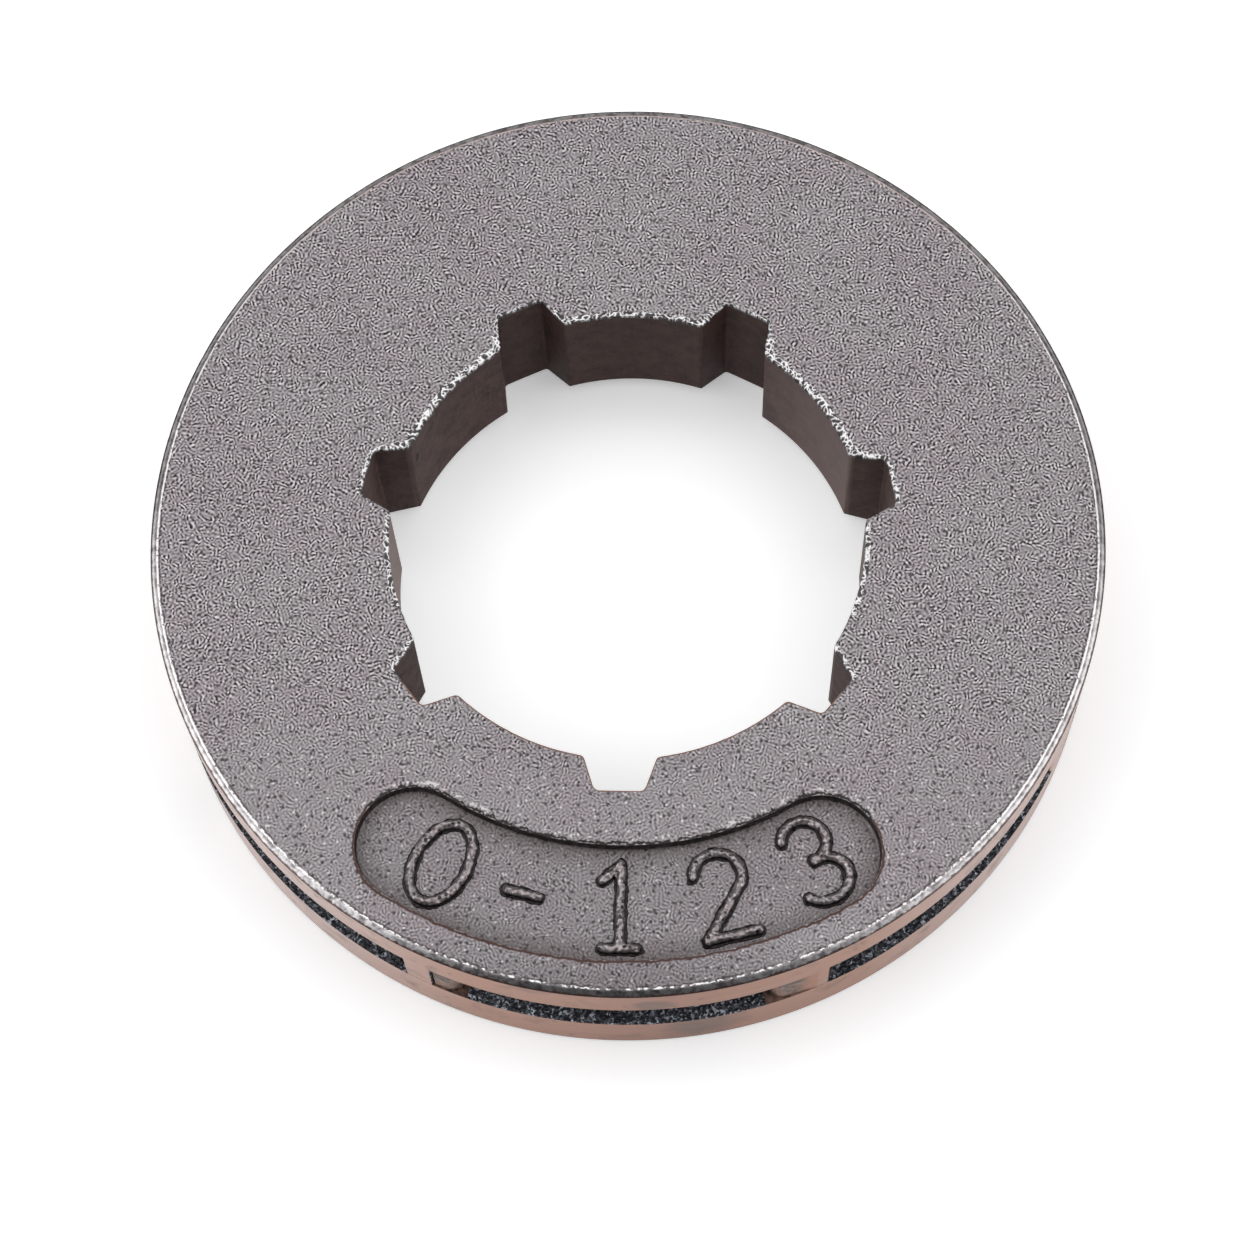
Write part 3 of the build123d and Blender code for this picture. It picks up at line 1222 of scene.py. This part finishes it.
# Floor, lights and camera
def makeFloor():
    bm = bmesh.new()
    bmesh.ops.create_grid(bm, x_segments=1, y_segments=1, size=studio["floorSize"] / 2 * mm)
    floor = finishedObject(bm, "studioFloor")
    material = bpy.data.materials.new("floorPaper")
    material.use_nodes = True
    tree = material.node_tree
    tree.nodes.clear()
    paper = newNode(tree, "BsdfDiffuse", {"Color": studio["floorColour"]})
    path = newNode(tree, "LightPath", {}).outputs
    seen = newNode(tree, "Math", {0: path["Is Camera Ray"], 1: path["Is Glossy Ray"]}, "MAXIMUM")
    glowing = {0: seen.outputs[0], 1: studio["floorGlow"]}
    strength = newNode(tree, "Math", glowing, "MULTIPLY").outputs[0]
    place = newNode(tree, "TexCoord", {}).outputs["Object"]
    away = newNode(tree, "VectorMath", {0: place}, "LENGTH").outputs["Value"]
    fade = newNode(tree, "MapRange", {
        "Value": away,
        "From Min": studio["fadeFrom"] * mm,
        "From Max": studio["fadeTo"] * mm,
        "To Max": 1.0 - studio["floorGlow"],
    }).outputs["Result"]
    fading = {0: fade, 1: path["Is Camera Ray"], 2: strength}
    total = newNode(tree, "Math", fading, "MULTIPLY_ADD")
    glow = newNode(tree, "Emission", {"Strength": total.outputs[0]})
    both = newNode(tree, "AddShader", {0: paper.outputs[0], 1: glow.outputs[0]})
    newNode(tree, "OutputMaterial", {"Surface": both.outputs[0]})
    floor.data.materials.append(material)


def makeLights():
    for name, azimuth, elevation, distance, width, height, radiance in studio["lamps"]:
        lamp = bpy.data.lights.new(name, "AREA")
        lamp.shape = "RECTANGLE"
        lamp.size = width * mm
        lamp.size_y = height * mm
        lamp.energy = radiance * math.pi * width * height * mm * mm
        holder = bpy.data.objects.new(name, lamp)
        scene.collection.objects.link(holder)
        towards = direction(azimuth, elevation)
        holder.location = towards * distance * mm
        holder.rotation_euler = towards.to_track_quat("Z", "Y").to_euler()
    world = bpy.data.worlds.new("studioRoom")
    scene.world = world
    world.use_nodes = True
    tree = world.node_tree
    room = tree.nodes["Background"]
    room.inputs["Color"].default_value = studio["roomColour"]
    room.inputs["Strength"].default_value = studio["roomLevel"]
    backdrop = newNode(tree, "Background", {"Color": colour(1.0, 1.0, 1.0)})
    path = newNode(tree, "LightPath", {})
    seen = newNode(tree, "MixShader", {
        0: path.outputs["Is Camera Ray"],
        1: room.outputs[0],
        2: backdrop.outputs[0],
    })
    tree.links.new(seen.outputs[0], tree.nodes["World Output"].inputs["Surface"])


def makeCamera():
    lens = bpy.data.cameras.new("photoCamera")
    lens.sensor_width = 36.0
    lens.lens = camera["lens"]
    lens.clip_start = 0.01
    lens.clip_end = 20.0
    holder = bpy.data.objects.new("photoCamera", lens)
    scene.collection.objects.link(holder)
    towards = direction(camera["azimuth"], camera["elevation"])
    aim = Vector(camera["aim"]) * mm
    a = math.radians(camera["azimuth"])
    right = Vector((math.cos(a), math.sin(a), 0))
    up = towards.cross(right)
    roll = math.radians(camera["roll"])
    rolledRight = right * math.cos(roll) + up * math.sin(roll)
    rolledUp = up * math.cos(roll) - right * math.sin(roll)
    turn = Matrix((rolledRight, rolledUp, towards)).transposed().to_4x4()
    holder.matrix_world = Matrix.Translation(aim + towards * camera["distance"] * mm) @ turn
    scene.camera = holder


makeFloor()
makeLights()
makeCamera()
scene.view_settings.view_transform = "Standard"
print("floor, lights and camera set")
